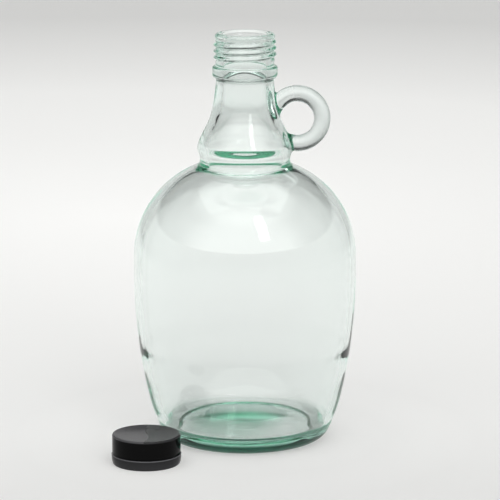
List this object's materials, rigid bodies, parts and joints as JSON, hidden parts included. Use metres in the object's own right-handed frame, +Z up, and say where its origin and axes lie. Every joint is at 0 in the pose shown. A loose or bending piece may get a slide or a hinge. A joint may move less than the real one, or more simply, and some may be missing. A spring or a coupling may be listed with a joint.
{
  "type": "glass jug with screw cap",
  "caption": "Clear pale green glass jug with a ring handle on its screw neck, and a black screw cap standing beside it.",
  "frame": {"origin": "on the floor, under the middle of the box that holds the jug and its cap", "axes": "+Z up along the jug's axis, +X from that axis to the ring handle, cap at -X and -Y"},
  "size_m": [0.1232, 0.1262, 0.2088],
  "materials": {
    "glass": "clear pale green glass, fire polished, darker green where it is thick",
    "cap_plastic": "glossy black moulded plastic"
  },
  "bodies": {
    "root": {"bottle": "glass", "cap": "cap_plastic"}
  },
  "joints": []
}
